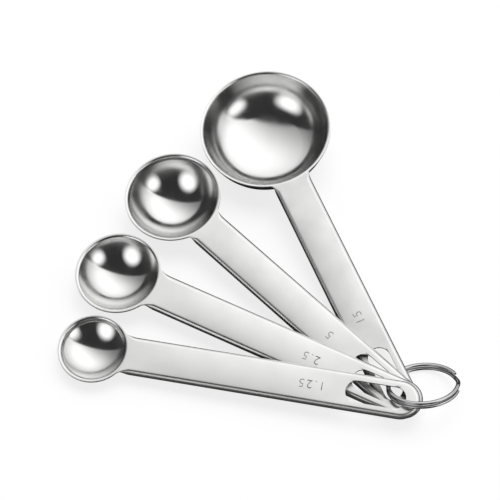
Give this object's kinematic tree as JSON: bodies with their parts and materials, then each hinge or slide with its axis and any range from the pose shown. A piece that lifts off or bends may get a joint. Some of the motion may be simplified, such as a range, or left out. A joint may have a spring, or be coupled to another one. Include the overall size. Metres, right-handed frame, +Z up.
{
  "type": "measuring spoon set",
  "caption": "Fan of four stamped steel measuring spoons with round bowls and slotted skirted handles, hinged together on a two-turn split ring.",
  "frame": {"origin": "on the table, under the middle of the box round the fanned set", "axes": "+Z up from the table, +Y from the ring side towards the largest bowl, +X from the smaller bowls towards the ring"},
  "size_m": [0.1268, 0.1366, 0.0192],
  "materials": {
    "polished_sheet": "polished stainless sheet, satin on the handles",
    "ring_wire": "bright plated spring wire"
  },
  "bodies": {
    "split_ring": {"split_ring": "ring_wire"},
    "tablespoon": {"tablespoon": "polished_sheet"},
    "teaspoon": {"teaspoon": "polished_sheet"},
    "half_teaspoon": {"half_teaspoon": "polished_sheet"},
    "quarter_teaspoon": {"quarter_teaspoon": "polished_sheet"}
  },
  "joints": [
    {"name": "tablespoon_swing", "type": "hinge", "parent": "split_ring", "child": "tablespoon", "pos_m": [0.04183, -0.0523, 0.00367], "axis": [0.0754, 0.1364, -0.9878], "range_deg": [-0.5, 45]},
    {"name": "teaspoon_swing", "type": "hinge", "parent": "split_ring", "child": "teaspoon", "pos_m": [0.04051, -0.0552, 0.0052], "axis": [0.0754, 0.1364, -0.9878], "range_deg": [-0.35, 31.5]},
    {"name": "half_teaspoon_swing", "type": "hinge", "parent": "split_ring", "child": "half_teaspoon", "pos_m": [0.04026, -0.0582, 0.00679], "axis": [0.0754, 0.1364, -0.9878], "range_deg": [-0.2, 18]},
    {"name": "quarter_teaspoon_swing", "type": "hinge", "parent": "split_ring", "child": "quarter_teaspoon", "pos_m": [0.04113, -0.0613, 0.00845], "axis": [0, 0, 1], "range_deg": [-0.5, 8]}
  ],
  "couplings": [
    {"joint": "teaspoon_swing", "follows": "tablespoon_swing", "ratio": 0.7},
    {"joint": "half_teaspoon_swing", "follows": "tablespoon_swing", "ratio": 0.4}
  ]
}
